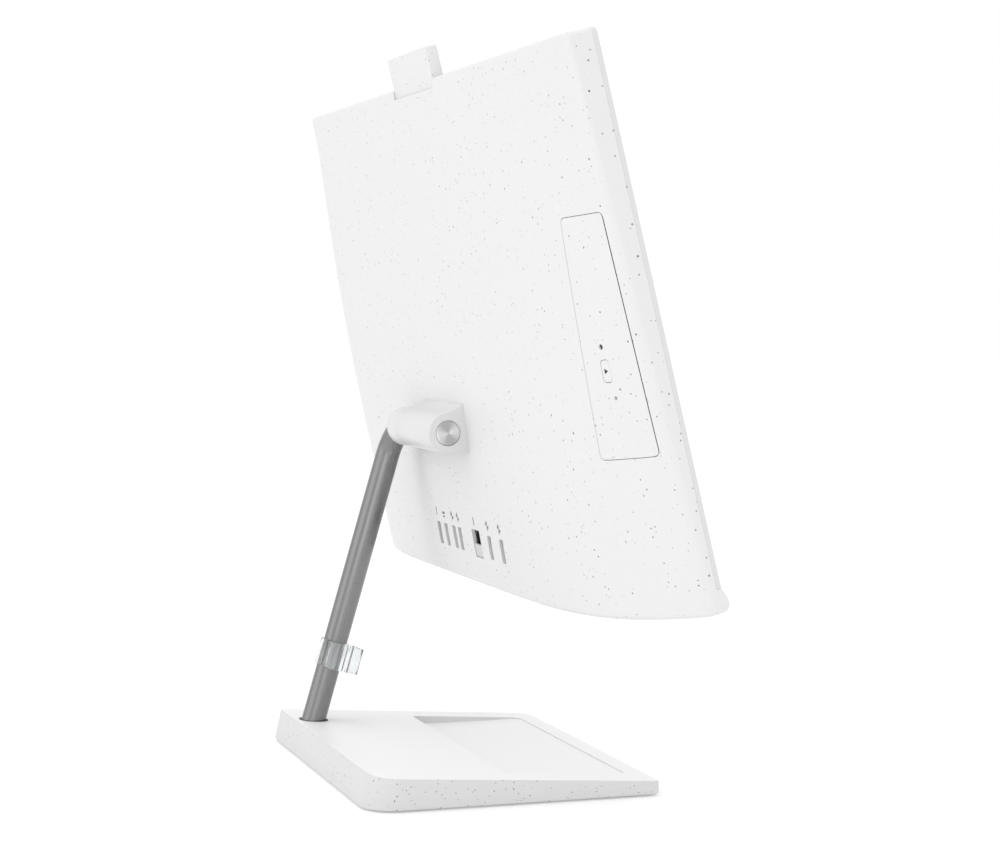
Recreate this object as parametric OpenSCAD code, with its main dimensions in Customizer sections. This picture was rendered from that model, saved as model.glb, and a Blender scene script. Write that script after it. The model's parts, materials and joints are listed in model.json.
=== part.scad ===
// All-in-one desktop computer on a one-post stand.
// Frame: origin on the table under the middle of the base, +Z up, the screen faces -Y,
// +X is to the right of a person who looks at the screen. Millimetres.
// The head is drawn in its own panel frame: x across, y back from the front plane, z up the panel.

/* [Display head] */
// Overall width of the head
head_w = 540.8; // [500:0.2:620]
// Height of the head along the panel
head_h = 314; // [290:1:340]
// Backward tilt of the panel at rest
panel_tilt = 14.1; // [5:0.1:18]
// Thickness of the head along its top edge
top_depth = 18.3; // [17.5:0.1:22]
// Depth of the head in the middle of its lower edge
dome_depth = 54; // [52:0.5:60]
// Thickness of the side wall at the lower corner
side_depth = 8; // [7:0.5:10]
// Exponent of the back's curve towards the side with the optical drive
dome_power = 5; // [4.8:0.1:5.2]
// Exponent of the back's curve up its height
dome_fall = 1.5; // [1.45:0.05:1.7]
// Wall of the back cover
wall = 2.2; // [2:0.1:2.6]
// Height of the chin bar under the screen
chin_h = 14; // [12:0.5:16]

/* [Stand] */
// Width of the base
base_w = 242; // [220:2:260]
// Depth of the base
base_d = 181; // [176:1:200]
// Height of the base at its back edge
base_back_h = 20.9; // [19:0.1:24]
// Height of the base at its front edge
base_front_h = 9.0; // [8.8:0.1:10]
// Radius of the post
post_r = 7.8; // [7:0.1:8.4]
// Forward lean of the post
post_lean = 16; // [12:0.5:18]
// Place of the post along the width of the base
post_x = 80; // [78:1:84]

/* [Hinge] */
// Height of the hinge axis above the table
hinge_z = 213.6; // [212:0.1:216]
// Place of the hinge axis from front to back
hinge_y = 17.6; // [17:0.1:19]
// Radius of the hinge barrel
barrel_r = 12.5; // [12:0.1:13]
// End of the barrel that shows the metal cap
barrel_x0 = -37; // [-40:1:-34]
// End of the barrel at the post
barrel_x1 = 58; // [56:1:59]

/* [Pop-up camera] */
// Width of the camera housing
camera_w = 84.4; // [70:0.2:86]
// Height that the camera stands above the head
camera_rise = 19.3; // [16:0.1:20]

/* [Optical drive] */
// Height of the drive door's middle up the panel
drive_mid = 155.5; // [154:0.5:157]
// Length of the drive door
drive_len = 131; // [130:0.5:132]
// Outer edge of the drive door
drive_x0 = -264.8; // [-265.3:0.1:-264.5]
// Inner edge of the drive door
drive_x1 = -225; // [-226:0.5:-224]

/* [Hidden] */
$fn = 64;
// where the panel's lower front edge is, so that the barrel meets the back of the head
panel_y = -64.8;
panel_z = 129.3;
camera_x = 5;
half_w = head_w / 2;
gap = 0.3;
frame_t = 2.8;        // the cover starts behind the front frame
plate_t = 9.4;        // front face of the steel chassis plate
// hinge axis in the panel frame
barrel_t = (hinge_y - panel_y) * cos(panel_tilt) - (hinge_z - panel_z) * sin(panel_tilt);
barrel_h = (hinge_y - panel_y) * sin(panel_tilt) + (hinge_z - panel_z) * cos(panel_tilt);
bore_r = post_r + 0.05;
cols = 32;            // grid of the curved back
rows = 24;
post_len = 208.2;
foot_h = 1.0;

// ---------- frames ----------
module in_head() translate([0, panel_y, panel_z]) rotate([-panel_tilt, 0, 0]) children();
module at_hinge() translate([0, hinge_y, hinge_z]) children();
module along_post() at_hinge() rotate([post_lean, 0, 0]) children();

// ---------- simple shapes ----------
// box between two corners
module block(x, t, h) translate([x[0], t[0], h[0]]) cube([x[1] - x[0], t[1] - t[0], h[1] - h[0]]);
// rounded rectangle about its middle
module round_rect(w, h, r) {
    square([w, h - 2 * r], center = true);
    square([w - 2 * r, h], center = true);
    for (i = [-1, 1], j = [-1, 1])
        translate([i * (w / 2 - r), j * (h / 2 - r)]) circle(r);
}
// rounded plate whose thickness runs back from t0 to t1, centred on x and h
module panel(x, h, w, l, r, t0, t1)
    translate([x, t1, h]) rotate([90, 0, 0]) linear_extrude(t1 - t0) round_rect(w, l, r);
// cylinder that runs back from t0 to t1
module peg(x, h, r, t0, t1) translate([x, t1, h]) rotate([90, 0, 0]) cylinder(h = t1 - t0, r = r);
// cylinder along x
module rod(x0, x1, r) translate([x0, 0, 0]) rotate([0, 90, 0]) cylinder(h = x1 - x0, r = r);

// ---------- the curved back ----------
function side_t(v) = side_depth + (top_depth - side_depth) * v;
function mid_t(v) = top_depth + (dome_depth - top_depth) * (1 - pow(v, dome_fall));
// the other side is fuller, more so towards the top
function far_power(v) = 8 + 28 * v * v;
function back_t(x, h) = side_t(h / head_h)
    + (mid_t(h / head_h) - side_t(h / head_h)) * (1 - pow(min(1, abs(x) / half_w), x < 0 ? dome_power : far_power(h / head_h)));
// how far a round of radius r drops the surface at distance d from a rim
function drop(d, r) = d >= r ? 0 : r - sqrt(r * r - (r - d) * (r - d));
function rim_drop(x, h, k) = max(drop(half_w - k - abs(x), 3.5), drop(h - k, 3.6), drop(head_h - k - h, 1.6));
function grid_x(i, k) = -(half_w - k) * cos(180 * i / cols);
function grid_h(j, k) = head_h / 2 - (head_h / 2 - k) * cos(180 * j / rows);
function at(i, j) = j * (cols + 1) + i;
rim = concat([for (i = [0:cols]) [i, 0]], [for (j = [1:rows]) [cols, j]],
    [for (i = [cols - 1:-1:0]) [i, rows]], [for (j = [rows - 1:-1:1]) [0, j]]);
rim_n = len(rim);
// solid behind the front plane whose back is the curved back, inset by k on every side
module back_solid(k, t_front) {
    grid_n = (cols + 1) * (rows + 1);
    points = concat(
        [for (j = [0:rows], i = [0:cols]) let (x = grid_x(i, k), h = grid_h(j, k))
            [x, back_t(x, h) - k - rim_drop(x, h, k), h]],
        [for (p = rim) [grid_x(p[0], k), t_front, grid_h(p[1], k)]]);
    faces = concat(
        [for (j = [0:rows - 1], i = [0:cols - 1]) [at(i, j), at(i + 1, j), at(i + 1, j + 1)]],
        [for (j = [0:rows - 1], i = [0:cols - 1]) [at(i, j), at(i + 1, j + 1), at(i, j + 1)]],
        [for (n = [0:rim_n - 1]) let (m = (n + 1) % rim_n)
            [at(rim[n][0], rim[n][1]), grid_n + n, grid_n + m, at(rim[m][0], rim[m][1])]],
        [[for (n = [rim_n - 1:-1:0]) grid_n + n]]);
    polyhedron(points, faces, convexity = 4);
}

// ---------- ports, from the power inlet on ----------
port_h = 28;
usb_x = [24, 12, -48, -71];
inlet_x = 57;
video_x = 41.5;
network_x = -22;
slot_w = 6.6;
slot_l = 15;
jack_w = 15.4;
jack_l = 18;
port_t0 = 39.8;       // face of the io board
port_t1 = 51.2;       // mouths of the sockets, just under the cover

module slot_hole(x, w, l) panel(x, port_h, w, l, 0.8, port_t1 - 3, dome_depth + 3);

// ---------- head ----------
cover_screw_x = [-225, -30, 30, 225];
cover_screw_t = 13;
bracket_x = [-26, 4, 34];
bracket_h = [91, 112.5];
block_x1 = 44;        // end of the block's foot, short of the barrel's own end
block_h = [86.5, 117];
function foot_t(h) = mid_t(h / head_h) - 0.6;

// resize([0, 0, 0]) keeps the size and makes the curved shell one mesh
module back_cover() color("white") in_head() resize([0, 0, 0]) difference() {
    back_solid(0, frame_t);
    back_solid(wall, -1);
    // door of the optical drive
    block([drive_x0 - gap, drive_x1 + gap], [13, 60], [drive_mid - drive_len / 2 - gap, drive_mid + drive_len / 2 + gap]);
    // sockets
    for (x = usb_x) slot_hole(x, slot_w, slot_l);
    slot_hole(inlet_x, slot_w, slot_l);
    slot_hole(video_x, slot_w, slot_l);
    slot_hole(network_x, jack_w, jack_l);
    // camera slot and the notch behind it
    block([camera_x - camera_w / 2 - 0.4, camera_x + camera_w / 2 + 0.4], [9.9, 18.2], [262, head_h + 5]);
    block([camera_x - camera_w / 2 - 0.4, camera_x + camera_w / 2 + 0.4], [9.9, 30], [head_h - 6, head_h + 5]);
    // opening behind the hinge bracket
    for (x = bracket_x, h = bracket_h) peg(x, h, 2.6, 35, 60);
    // pocket for the foot of the hinge block and its barrel
    translate([barrel_x0 - 0.1, 0, 0]) rotate([90, 0, 90]) linear_extrude(block_x1 - barrel_x0 + 0.2)
        polygon([[foot_t(block_h[0]), block_h[0] - 0.1], [70, block_h[0] - 0.1],
            [70, block_h[1] + 0.1], [foot_t(block_h[1]), block_h[1] + 0.1]]);
    translate([0, barrel_t, barrel_h]) rod(barrel_x0 - 0.1, barrel_x1 + 0.2, barrel_r + 0.05);
    // room for the tray beside the door
    block([drive_x1, -189], [17.4, 22.5], [drive_mid - 62.5, drive_mid + 62.5]);
    // screws in the lower edge
    for (x = cover_screw_x) translate([x, cover_screw_t, -1]) cylinder(h = 2.6, r = 3);
    for (x = cover_screw_x) translate([x, cover_screw_t, -1]) cylinder(h = 8, r = 1.6);
    // air slots along the top edge and intake slots along the bottom edge
    for (i = [0:15]) block([62 + 9 * i, 66 + 9 * i], [9, 14.5], [head_h - 8, head_h + 2]);
    for (i = [0:15]) block([-206 + 9 * i, -202 + 9 * i], [10, 24], [-1, 4.5]);
    for (i = [0:15]) block([70 + 9 * i, 74 + 9 * i], [10, 24], [-1, 4.5]);
    // power button
    translate([245, 9, -1]) linear_extrude(8) round_rect(12.6, 5, 2.4);
}

module front_frame() color("white") in_head() difference() {
    panel(0, (head_h + chin_h) / 2, head_w, head_h - chin_h, 4, 0, frame_t);
    block([-half_w + 1.8, half_w - 1.8], [-1, 2.2], [chin_h + 0.4, head_h - 1.8]);
    block([-half_w + 4, half_w - 4], [-1, 5], [chin_h + 2, head_h - 4]);
    block([-40, 40], [-1, 5], [head_h - 3, head_h - 2]);
}

module chin_bar() color("white") in_head() difference() {
    union() {
        panel(0, chin_h / 2, head_w, chin_h, 3, -2.6, frame_t);
        block([-230, 230], [-2.6, 7.6], [3, chin_h - 1]);
    }
    for (i = [0:39]) block([-214 + 2.4 * i, -213 + 2.4 * i], [-4, 9], [5, 10.5]);
    for (i = [0:39]) block([120 + 2.4 * i, 121 + 2.4 * i], [-4, 9], [5, 10.5]);
}

module display_glass() color([0.05, 0.05, 0.06]) in_head()
    block([-half_w + 2, half_w - 2], [0.3, 2.0], [chin_h + 0.6, head_h - 2]);

module lcd_module() color("silver") in_head() union() {
    block([-265, 265], [2.2, 8.2], [chin_h + 2.4, head_h - 4.4]);
    block([-150, 150], [8.2, 9.2], [60, 240]);
}

fan_ears = [[126, 120], [186, 120], [197, 160]];
// posts that carry the parts behind the plate: place and height
posts = concat(
    [for (x = [-92, 104], h = [26, 236]) [x, h, 14]],
    [for (x = [-182, -108], h = [100, 211]) [x, h, 15.8]],
    [for (x = [126, 214], h = [40, 92]) [x, h, 12.4]],
    [for (p = fan_ears) [p[0], p[1], 12]],
    [for (x = [-88, 92], h = [13]) [x, h, 38.2]]);
module chassis_plate() color([0.72, 0.73, 0.75]) in_head() difference() {
    union() {
        panel(0, 134, 500, 246, 6, plate_t, plate_t + 1);
        for (p = posts) peg(p[0], p[1], 3, plate_t + 1, p[2]);
        block([-250, 250], [plate_t + 1, plate_t + 4], [253, 254.4]);
        for (x = cover_screw_x) block([x - 7, x + 7], [plate_t + 1, 17], [11, 12.2]);
    }
    for (x = cover_screw_x) translate([x, cover_screw_t, 10]) cylinder(h = 4, r = 1.45);
    for (x = [-225, -75, 75, 225]) panel(x, 134, 60, 34, 6, 8, 12);
    for (p = posts) peg(p[0], p[1], 1.2, plate_t - 1, p[2] + 1);
}

board_t0 = 14;
board_t1 = 15.6;
bracket_posts = [for (x = [-56, 70], h = [82, 124]) [x, h]];
module motherboard() color([0.05, 0.3, 0.18]) in_head() difference() {
    union() {
        block([-98, 110], [board_t0, board_t1], [20, 242]);
        block([-30, 10], [board_t1, board_t1 + 1.2], [165, 205]);
        for (i = [0:5]) peg(-85 + 7 * i, 150, 2.6, board_t1, board_t1 + 8);
        for (i = [0:3]) block([40 + 12 * i, 49 + 12 * i], [board_t1, board_t1 + 2], [212, 222]);
        block([-40, 34], [board_t1, board_t1 + 5], [26, 32]);
    }
    for (p = bracket_posts) peg(p[0], p[1], 5, 10, 20);
    for (x = [-92, 104], h = [26, 236]) peg(x, h, 1.5, 10, 20);
}

module cpu_heat_sink() color([0.7, 0.45, 0.3]) in_head() union() {
    block([-32, 12], [board_t1 + 1.2, board_t1 + 3.6], [163, 207]);
    for (i = [0:8]) block([-31 + 5 * i, -29.8 + 5 * i], [board_t1 + 3.6, 24], [163, 172]);
}

// flattened copper pipe from the processor to the fins
pipe_t = [board_t1 + 3.6, board_t1 + 6];
pipe_h = [190, 200];
pipe_w = 8;
module heat_pipe() color([0.8, 0.45, 0.28]) in_head()
    translate([0, pipe_t[1], 0]) rotate([90, 0, 0]) linear_extrude(pipe_t[1] - pipe_t[0])
        polygon([[-24, pipe_h[0] - pipe_w / 2], [104, pipe_h[0] - pipe_w / 2],
            [114, pipe_h[1] - pipe_w / 2], [184, pipe_h[1] - pipe_w / 2], [184, pipe_h[1] + pipe_w / 2],
            [111, pipe_h[1] + pipe_w / 2], [101, pipe_h[0] + pipe_w / 2], [-24, pipe_h[0] + pipe_w / 2]]);

fan_x = 156;
fan_h = 150;
fin_x = [for (i = [0:21]) 122 + 3 * i];
module fin_stack() color([0.8, 0.8, 0.82]) in_head() difference() {
    union() {
        for (x = fin_x) block([x, x + 0.6], [14, 26], [192, 207]);
        block([122, 185.6], [13.4, 14.2], [192, 207]);
        block([122, 185.6], [25.4, 26.2], [192, 207]);
    }
    block([110, 184.2], pipe_t, [pipe_h[1] - pipe_w / 2, pipe_h[1] + pipe_w / 2]);
}

module fan_housing() color([0.12, 0.12, 0.13]) in_head() difference() {
    union() {
        peg(fan_x, fan_h, 39, 12, 27);
        block([fan_x - 34, fan_x + 30], [12, 27], [fan_h, 191.5]);
        for (p = fan_ears) peg(p[0], p[1], 4.5, 12, 14);
    }
    peg(fan_x, fan_h, 37.6, 13.4, 25.6);
    block([fan_x - 32, fan_x + 28], [13.4, 25.6], [fan_h, 195]);
    peg(fan_x, fan_h, 25, 20, 30);
    peg(fan_x, fan_h, 1.53, 10, 20);
    for (p = fan_ears) peg(p[0], p[1], 1.3, 8, 20);
}

module fan_rotor() color([0.2, 0.2, 0.22]) in_head() union() {
    difference() {
        peg(fan_x, fan_h, 13, 14.4, 24.6);
        peg(fan_x, fan_h, 11.6, 12, 23.6);
    }
    peg(fan_x, fan_h, 1.5, 12.2, 24);
    for (i = [0:10]) translate([fan_x, 0, fan_h]) rotate([0, 360 / 11 * i, 0])
        translate([12.6, 15, 0]) rotate([0, 18, 0]) cube([21.5, 9, 1]);
}

module memory_modules() color([0.07, 0.35, 0.22]) in_head() union() {
    for (h = [44, 62]) {
        block([-40, 27.6], [board_t1 + 3.2, board_t1 + 4.4], [h, h + 15]);
        block([-42, 29.6], [board_t1, board_t1 + 5.2], [h - 4, h]);
        for (i = [0:3]) block([-36 + 16 * i, -25 + 16 * i], [board_t1 + 4.4, board_t1 + 5.6], [h + 3, h + 13]);
    }
}

module solid_state_drive() color([0.1, 0.12, 0.35]) in_head() union() {
    block([84, 106], [board_t1 + 2, board_t1 + 2.8], [50, 130]);
    for (h = [56, 80, 104]) block([87, 103], [board_t1 + 2.8, board_t1 + 4.2], [h, h + 18]);
    block([84, 106], [board_t1, board_t1 + 4], [46, 50]);
    peg(95, 131, 3, board_t1, board_t1 + 3.4);
}

module wireless_card() color([0.6, 0.62, 0.64]) in_head() union() {
    block([-92, -70], [board_t1 + 1.6, board_t1 + 2.4], [176, 206]);
    block([-90, -72], [board_t1 + 2.4, board_t1 + 4], [180, 202]);
    block([-92, -70], [board_t1, board_t1 + 3.4], [206, 210]);
}

module hard_drive() color([0.62, 0.63, 0.65]) in_head() difference() {
    union() {
        block([122, 222], [14.4, 21.4], [30.4, 100.2]);
        peg(195, 65.3, 22, 21.4, 21.8);
    }
    for (x = [130, 214], h = [34, 96.6]) peg(x, h, 1.5, 13, 18);
}

module hard_drive_caddy() color([0.5, 0.51, 0.53]) in_head() difference() {
    block([117, 227], [12.4, 18.4], [28.6, 102]);
    block([119, 225], [14.2, 20], [30.2, 100.4]);
    block([132, 212], [10, 20], [48, 84]);
    for (x = [126, 214], h = [40, 92]) peg(x, h, 1.3, 10, 20);
}

module speaker(side) color([0.1, 0.1, 0.11]) in_head() difference() {
    union() {
        block([side * 167 - 47, side * 167 + 47], [11, 24], [6, 27.4]);
        for (s = [-34, 34]) peg(side * 167 + s, 16.7, 8, 24, 25);
    }
    for (s = [-34, 34]) peg(side * 167 + s, 16.7, 6.4, 22.6, 26);
}
module speaker_left() speaker(-1);
module speaker_right() speaker(1);

module io_board() color([0.05, 0.3, 0.18]) in_head() difference() {
    block([-96, 100], [port_t0 - 1.6, port_t0], [9, 44]);
    for (x = [-88, 92]) peg(x, 13, 1.4, 30, 50);
}

module io_ribbon() color([0.85, 0.85, 0.8]) in_head()
    translate([-20, 0, 0]) rotate([0, 90, 0]) linear_extrude(36)
        polygon([[-33.4, 20.7], [-34, 20.7], [-34.4, 36], [-39, 37.6], [-39, 38.2], [-33.8, 37]]);

// shell of a socket with a tongue in it
module socket(x, w, l) difference() {
    panel(x, port_h, w, l, 0.6, port_t0, port_t1);
    panel(x, port_h, w - 1, l - 1, 0.4, port_t0 + 1.4, port_t1 + 1);
}
module power_inlet() color([0.15, 0.15, 0.16]) in_head() union() {
    difference() {
        socket(inlet_x, slot_w, slot_l);
        peg(inlet_x, port_h, 2.4, port_t0 + 1, port_t1 + 1);
    }
    peg(inlet_x, port_h, 0.7, port_t0, port_t1 - 2);
}
module video_port() color([0.55, 0.56, 0.58]) in_head() union() {
    socket(video_x, slot_w, slot_l);
    block([video_x - 0.6, video_x + 0.6], [port_t0, port_t1 - 2], [port_h - 5, port_h + 5]);
}
module usb_ports() color([0.6, 0.61, 0.63]) in_head() for (x = usb_x) {
    socket(x, slot_w, slot_l);
    block([x + 0.4, x + 1.8], [port_t0, port_t1 - 2], [port_h - 5.4, port_h + 5.4]);
}
flap_t = dome_depth - 1.1;
flap_z = port_h - jack_l / 2 + 0.9;
module network_jack() color([0.06, 0.06, 0.07]) in_head() difference() {
    panel(network_x, port_h, jack_w, jack_l, 0.6, port_t0, port_t1 - 0.6);
    block([network_x - 6, network_x + 6], [port_t0 + 1.4, port_t1], [port_h - 7, port_h + 6]);
    block([network_x - 3, network_x + 3], [port_t0 + 1.4, port_t1], [port_h + 5, port_h + 8]);
}
module network_jack_flap() color([0.8, 0.8, 0.8]) in_head() union() {
    translate([network_x, flap_t - 0.9, flap_z]) rod(-6.9, 6.9, 0.8);
    block([network_x - 6.9, network_x + 6.9], [flap_t - 1.5, flap_t], [flap_z, port_h - 0.4]);
}

// ---------- optical drive ----------
tray_t = [17.7, 22.2];
disc_x = -163;
drive_lo = drive_mid - drive_len / 2;
drive_hi = drive_mid + drive_len / 2;
module optical_drive() color([0.7, 0.71, 0.73]) in_head() difference() {
    block([-189, -96], [15.8, 24.2], [drive_mid - 64, drive_mid + 64]);
    block([-192, -97.2], [17.1, 23.4], [drive_mid - 62.6, drive_mid + 62.6]);
    peg(-142, drive_mid, 24, 22, 26);
}
module disc_tray() color([0.2, 0.2, 0.21]) in_head() difference() {
    block([drive_x1 + 0.2, -99.5], tray_t, [drive_mid - 61.6, drive_mid + 61.6]);
    peg(disc_x, drive_mid, 60.6, tray_t[1] - 2.2, 30);
    peg(disc_x, drive_mid, 15, tray_t[0] + 1, 30);
    peg(disc_x, drive_mid, 3.05, 10, 30);
    block([disc_x + 12, -108], [16, 30], [drive_mid - 9, drive_mid + 9]);
}
// wedge of the back between the drive's edges, above the strip that it slides over
module door_wedge(lo, hi, x0, x1) resize([0, 0, 0]) intersection() {
    back_solid(0, frame_t);
    translate([x0, 0, 0]) rotate([90, 0, 90]) linear_extrude(x1 - x0)
        polygon([[back_t(drive_x0, lo) + gap, lo], [60, lo], [60, hi], [back_t(drive_x0, hi) + gap, hi],
            [back_t(drive_x0, drive_mid) + gap, drive_mid]]);
}
eject_x = -242;
eject_h = 137.8;
eject_back = back_t(eject_x, eject_h);
module drive_bezel() color("white") in_head() difference() {
    door_wedge(drive_lo, drive_hi, drive_x0 + 1, drive_x1);
    panel(eject_x, eject_h, 6.8, 12.6, 1.7, eject_back - 5.4, 60);
    peg(-241.5, 151, 1.5, 18, 40);
    peg(-245, 123, 1.1, 17.6, 40);
}
module eject_button() color("white") in_head() resize([0, 0, 0]) intersection() {
    back_solid(0, frame_t);
    panel(eject_x, eject_h, 6.2, 12.0, 1.5, eject_back - 4.0, 60);
}
module disc_hub() color([0.35, 0.35, 0.37]) in_head() union() {
    peg(disc_x, drive_mid, 3, tray_t[0] + 0.1, tray_t[0] + 1.3);
    peg(disc_x, drive_mid, 14, tray_t[0] + 1.3, tray_t[0] + 2.6);
    peg(disc_x, drive_mid, 7.4, tray_t[0] + 2.6, tray_t[1] + 0.4);
}

// ---------- camera ----------
cam_t = [10.4, 17.9];
cam_lo = head_h - 28;
cam_hi = head_h + camera_rise;
lens_h = head_h + camera_rise / 2 + 0.6;
module camera_housing() color("white") in_head() difference() {
    panel(camera_x, (cam_lo + cam_hi) / 2, camera_w, cam_hi - cam_lo, 1.6, cam_t[0], cam_t[1]);
    block([camera_x - 26, camera_x + 26], [10.4 + 2, cam_t[1] - 1.4], [cam_lo - 1, head_h + camera_rise - 3]);
    panel(camera_x, lens_h, 44, 12.4, 5, 9, cam_t[0] + 0.9);
    peg(camera_x, lens_h, 3.7, 9, 14);
}
module camera_window() color([0.03, 0.03, 0.04]) in_head() difference() {
    panel(camera_x, lens_h, 43.6, 12, 4.8, cam_t[0] + 0.1, cam_t[0] + 0.9);
    peg(camera_x, lens_h, 3.2, 9, 14);
}
module camera_lens() color([0.1, 0.1, 0.15]) in_head() union() {
    peg(camera_x, lens_h, 3.1, cam_t[0] + 0.3, cam_t[0] + 3.1);
}
module camera_board() color([0.05, 0.3, 0.18]) in_head()
    block([camera_x - 24, camera_x + 24], [cam_t[0] + 3.1, cam_t[0] + 4.1], [lens_h - 8, lens_h + 6]);
module camera_guide() color([0.15, 0.15, 0.16]) in_head() difference() {
    block([camera_x - 46, camera_x + 46], [10.5, 18], [257, 300]);
    block([camera_x - camera_w / 2 - 0.3, camera_x + camera_w / 2 + 0.3], [9, 30], [261.5, 320]);
}

// ---------- buttons and screws of the head ----------
module power_button() color([0.75, 0.76, 0.78]) in_head() union() {
    translate([245, 9, -0.8]) linear_extrude(4.6) round_rect(12, 4.4, 2.1);
    block([238.6, 251.4], [7, 11], [3.8, 5]);
}
module power_button_board() color([0.05, 0.3, 0.18]) in_head() union() {
    block([232, 256], [6.2, 11.8], [9, 10.2]);
    block([242, 248], [7, 11], [6.6, 9]);
}
module cover_screws() color([0.3, 0.3, 0.32]) in_head() for (x = cover_screw_x)
    translate([x, cover_screw_t, 0.4]) union() {
        cylinder(h = 1.2, r = 2.8);
        cylinder(h = 12.6, r = 1.4);
    }

// ---------- hinge ----------
bracket_t = [39.4, 41.6];
module hinge_bracket() color([0.6, 0.61, 0.63]) in_head() difference() {
    union() {
        block([-62, 76], bracket_t, [77, 129]);
        for (p = bracket_posts) peg(p[0], p[1], 4, plate_t + 1, bracket_t[0]);
    }
    for (x = bracket_x, h = bracket_h) peg(x, h, 1.65, 35, 50);
}
module hinge_screws() color([0.3, 0.3, 0.32]) in_head() for (x = bracket_x, h = bracket_h) union() {
    peg(x, h, 3, bracket_t[0] - 1.8, bracket_t[0]);
    peg(x, h, 1.6, bracket_t[0], 51);
}
// side outline of the block: a round barrel with a foot on the back of the head
module block_outline() {
    low = [barrel_t - 1, barrel_h - barrel_r + 0.1];
    high = [barrel_t - 1, barrel_h + barrel_r - 0.1];
    bend = [52.5, high[1] + 0.3];
    ridge = [foot_t(block_h[1]) + 1.6, block_h[1]];
    translate([barrel_t, barrel_h]) circle(barrel_r);
    polygon(concat([[foot_t(block_h[0]), block_h[0]], low, [barrel_t + 2, barrel_h]],
        [for (s = [0:0.125:1]) (1 - s) * (1 - s) * high + 2 * s * (1 - s) * bend + s * s * ridge],
        [[foot_t(block_h[1]), block_h[1]]]));
}
cap_r = 7.7;
module hinge_block() color("white") difference() {
    in_head() union() {
        translate([barrel_x0, 0, 0]) rotate([90, 0, 90]) linear_extrude(block_x1 - barrel_x0) block_outline();
        translate([0, barrel_t, barrel_h]) rod(barrel_x0, barrel_x1, barrel_r);
    }
    at_hinge() rod(barrel_x0 - 1, barrel_x0 + 3, cap_r + 0.05);
    at_hinge() rod(barrel_x0 + 2.2, barrel_x1 + 1, bore_r + 1.2);
    in_head() for (x = bracket_x, h = bracket_h) peg(x, h, 1.65, 40, 51.2);
}
module hinge_bushes() color([0.75, 0.6, 0.3]) at_hinge() for (x = [[-33, -18], [38, 57]])
    difference() {
        rod(x[0], x[1], bore_r + 1.2);
        rod(x[0] - 1, x[1] + 1, bore_r);
    }
module hinge_spring_washers() color([0.45, 0.46, 0.48]) at_hinge() for (i = [0:7])
    difference() {
        rod(-14 + 6 * i, -11.2 + 6 * i, bore_r + 1.1);
        rod(-15 + 6 * i, -10 + 6 * i, bore_r + 0.05);
    }

// ---------- post: a tube that leans forward and turns into the barrel ----------
bend_r = 22;
module post() color([0.75, 0.75, 0.76]) along_post() difference() {
    union() {
        translate([post_x, 0, -post_len]) cylinder(h = post_len - bend_r, r = post_r);
        translate([post_x - bend_r, 0, -bend_r]) rotate([90, 0, 0])
            rotate_extrude(angle = 90) translate([bend_r, 0]) circle(post_r);
        rod(barrel_x0 + 2.6, post_x - bend_r, post_r);
    }
    translate([post_x, 0, -post_len - 1]) cylinder(h = post_len - bend_r + 1, r = post_r - 1.5);
    rod(barrel_x0 + 1, post_x - bend_r - 4, post_r - 1.5);
}
module post_end_cap() color([0.7, 0.7, 0.72]) at_hinge() union() {
    rod(barrel_x0 - 0.2, barrel_x0 + 2.6, cap_r);
    rod(barrel_x0 + 2.6, barrel_x0 + 12, post_r - 1.5);
}

// ---------- base ----------
function top_z(y) = base_front_h + (y + base_d / 2) * (base_back_h - base_front_h) / base_d;
lid = 2.2;
base_wall = 2.4;
lean_back = 3.9;
recess_x = 100;
recess_z = 9.2;
recess_y0 = -77;
// corners of the base as side, back or front, and radius
base_corners = [[-1, 1, 20], [1, 1, 4.5], [-1, -1, 5], [1, -1, 11]];
// plan of the base inset by k
module base_plan(k) {
    w = base_w / 2 - k;
    d = base_d / 2 - k;
    for (c = base_corners) let (r = c[2] - k) scale([c[0], c[1]]) {
        translate([-5, -5]) square([w + 5 - r, d + 5]);
        translate([-5, -5]) square([w + 5, d + 5 - r]);
        translate([w - r, d - r]) circle(r);
    }
}
// side outline: upright in front, leaning behind, and `under` below the sloping top
module base_side(k, z0, under) rotate([90, 0, 90]) translate([0, 0, -base_w])
    linear_extrude(2 * base_w) polygon([[-base_d / 2 - 2, z0], [base_d / 2 - k, z0], [base_d / 2 - k, 3],
        [base_d / 2 - k - lean_back, top_z(base_d / 2 - k - lean_back) - under],
        [-base_d / 2 - 2, top_z(-base_d / 2 - 2) - under]]);
module base_body(k, z0, under) intersection() {
    linear_extrude(40) base_plan(k);
    base_side(k, z0, under);
}
module recess_box(k) translate([-recess_x - k, recess_y0 - k, recess_z - (k > 0 ? lid : 0)])
    cube([2 * (recess_x + k), k - recess_y0 + k, 30]);
module base_top() color("white") difference() {
    union() {
        difference() {
            base_body(0, foot_h, 0);
            base_body(-1, 0, lid);
        }
        intersection() {
            base_body(0, foot_h, 0);
            recess_box(1.8);
        }
    }
    recess_box(0);
    along_post() translate([post_x, 0, -post_len - 10]) cylinder(h = post_len, r = post_r + 1.6);
}
screw_spots = [for (x = [-116, 116], y = [-72, 58]) [x, y]];
module base_shell() color("white") difference() {
    base_body(0, foot_h, lid);
    difference() {
        base_body(base_wall, 0, 1);
        for (p = screw_spots) translate([p[0], p[1], 3.2]) cylinder(h = 20, r = 3.4);
    }
    for (p = screw_spots) translate([p[0], p[1], 0]) cylinder(h = 5.6, r = 1.5);
}
flange_x = [-22, 22];
flange_y = [34, 52];
module base_weight() color([0.35, 0.36, 0.38]) difference() {
    translate([-104, -72, 3.2]) cube([208, 150, 3.6]);
    for (x = [-60, 0]) translate([x, 40, 2]) cylinder(h = 8, r = 6);
    for (x = flange_x, y = flange_y) translate([post_x + x, y, 2]) cylinder(h = 8, r = 2.05);
}
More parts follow.
